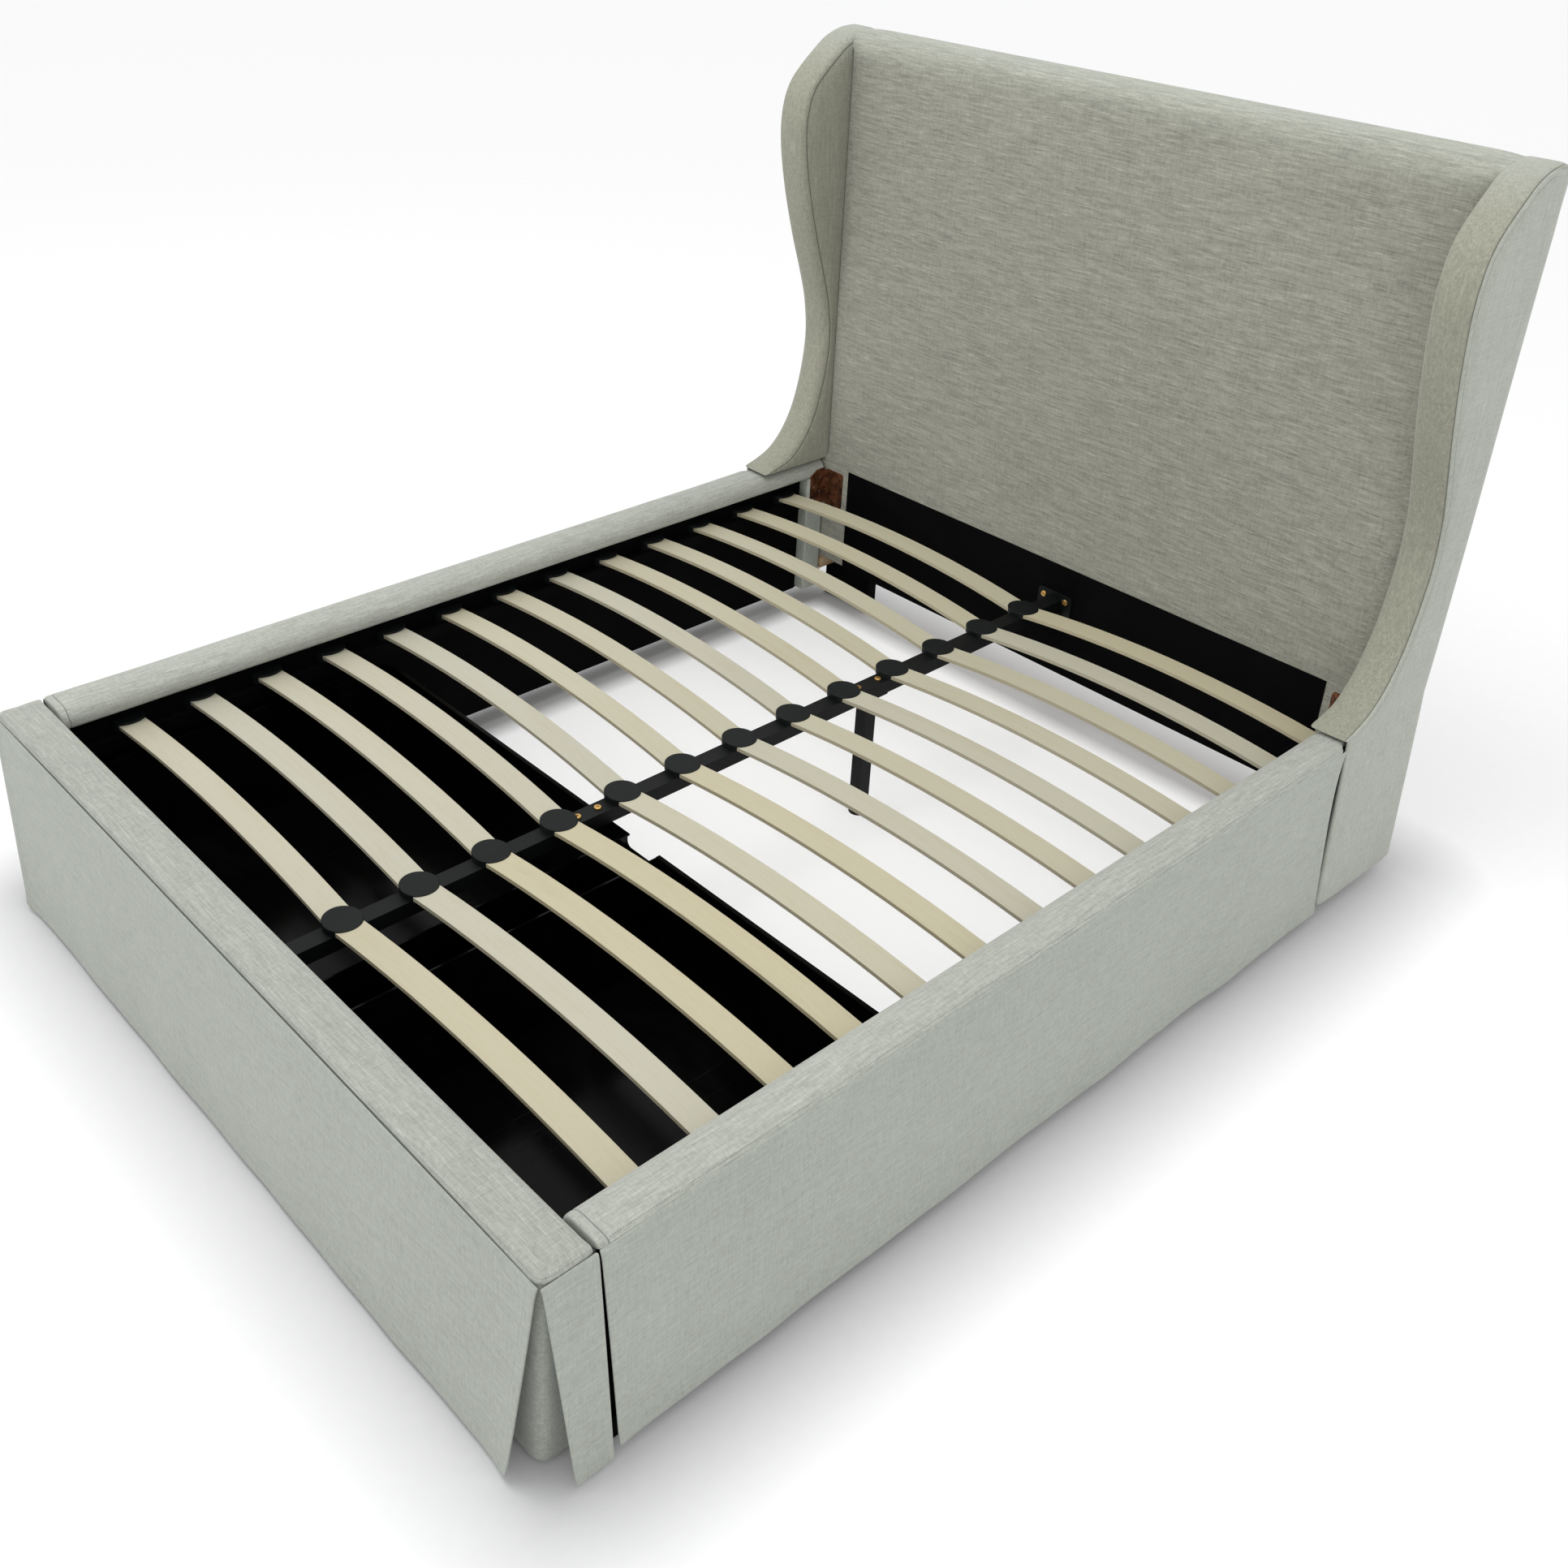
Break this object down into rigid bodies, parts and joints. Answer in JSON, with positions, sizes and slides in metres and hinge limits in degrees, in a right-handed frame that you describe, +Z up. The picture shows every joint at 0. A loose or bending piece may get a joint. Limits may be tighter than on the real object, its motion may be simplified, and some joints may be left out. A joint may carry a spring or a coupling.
{
  "type": "upholstered headboard bed",
  "caption": "Wingback bed in slubbed fabric with skirted rails, a sprung slat base on a steel centre rail, and a foot end that pulls out as a storage drawer on castors.",
  "frame": {"origin": "on the floor under the middle of the bed's outer box", "axes": "+Z up, +Y towards the headboard, -Y towards the foot where the drawer pulls out, +X to the right seen from the foot"},
  "size_m": [1.759, 2.248, 1.484],
  "materials": {
    "birch": "satin laminated birch",
    "black_plastic": "satin black moulded",
    "castor_steel": "zinc-plated",
    "castor_tread": "black nylon",
    "black_steel": "satin black powder coat",
    "brass_screws": "satin plated",
    "bronze_steel": "rubbed bronze",
    "black_board": "black stained board",
    "frame_wood": "plain sawn board",
    "tray_plastic": "gloss black moulded",
    "headboard_fabric": "slubbed linen weave, sage grey",
    "roll_fabric": "slubbed linen weave, sage grey",
    "skirt_fabric": "slubbed linen weave, sage grey"
  },
  "bodies": {
    "bed_frame": {"bed_hooks": "bronze_steel", "centre_caps": "black_plastic", "centre_leg": "black_steel", "centre_leg_glide": "black_plastic", "centre_rail_foot": "black_steel", "centre_rail_head": "black_steel", "centre_rail_mid": "black_steel", "end_caps_left": "black_plastic", "end_caps_right": "black_plastic", "foot_cross_bar": "black_steel", "head_bracket": "black_steel", "headboard_back_panel": "headboard_fabric", "headboard_face_pad": "headboard_fabric", "headboard_frame": "frame_wood", "headboard_leg_left": "black_board", "headboard_leg_right": "black_board", "headboard_liner_panel": "black_board", "headboard_side_panel_left": "headboard_fabric", "headboard_side_panel_right": "headboard_fabric", "hook_receivers": "bronze_steel", "rail_board_left": "black_board", "rail_board_right": "black_board", "rail_feet": "black_board", "rail_liner_left": "black_board", "rail_liner_right": "black_board", "rail_pad_left": "roll_fabric", "rail_pad_right": "roll_fabric", "rail_screws": "brass_screws", "rail_skirt_left": "skirt_fabric", "rail_skirt_right": "skirt_fabric", "rail_sleeves": "black_steel", "slat_ledger_left": "black_board", "slat_ledger_right": "black_board", "slat_row_01": "birch", "slat_row_02": "birch", "slat_row_03": "birch", "slat_row_04": "birch", "slat_row_05": "birch", "slat_row_06": "birch", "slat_row_07": "birch", "slat_row_08": "birch", "slat_row_09": "birch", "slat_row_10": "birch", "slat_row_11": "birch", "slat_row_12": "birch", "slat_row_13": "birch", "wing_pad_left": "headboard_fabric", "wing_pad_right": "headboard_fabric"},
    "drawer": {"drawer_front_box": "black_board", "drawer_front_pad": "roll_fabric", "drawer_front_skirt": "skirt_fabric", "drawer_side_skirts": "skirt_fabric", "drawer_pleat_gussets": "skirt_fabric", "drawer_tray": "tray_plastic", "tray_brackets": "black_steel", "castor_forks": "castor_steel"},
    "castor_wheel_front_left": {"castor_wheel_front_left": "castor_tread"},
    "castor_wheel_front_right": {"castor_wheel_front_right": "castor_tread"},
    "castor_wheel_rear_left": {"castor_wheel_rear_left": "castor_tread"},
    "castor_wheel_rear_right": {"castor_wheel_rear_right": "castor_tread"}
  },
  "joints": [
    {"name": "drawer_slide", "type": "slide", "parent": "bed_frame", "child": "drawer", "axis": [0, -1, 0], "range_m": [0, 0.6]},
    {"name": "front_left_wheel_spin", "type": "hinge", "parent": "drawer", "child": "castor_wheel_front_left", "pos_m": [-0.64, -0.93, 0.0198], "axis": [1, 0, 0], "continuous": true},
    {"name": "front_right_wheel_spin", "type": "hinge", "parent": "drawer", "child": "castor_wheel_front_right", "pos_m": [0.64, -0.93, 0.0198], "axis": [1, 0, 0], "continuous": true},
    {"name": "rear_left_wheel_spin", "type": "hinge", "parent": "drawer", "child": "castor_wheel_rear_left", "pos_m": [-0.64, -0.4, 0.0198], "axis": [1, 0, 0], "continuous": true},
    {"name": "rear_right_wheel_spin", "type": "hinge", "parent": "drawer", "child": "castor_wheel_rear_right", "pos_m": [0.64, -0.4, 0.0198], "axis": [1, 0, 0], "continuous": true}
  ]
}
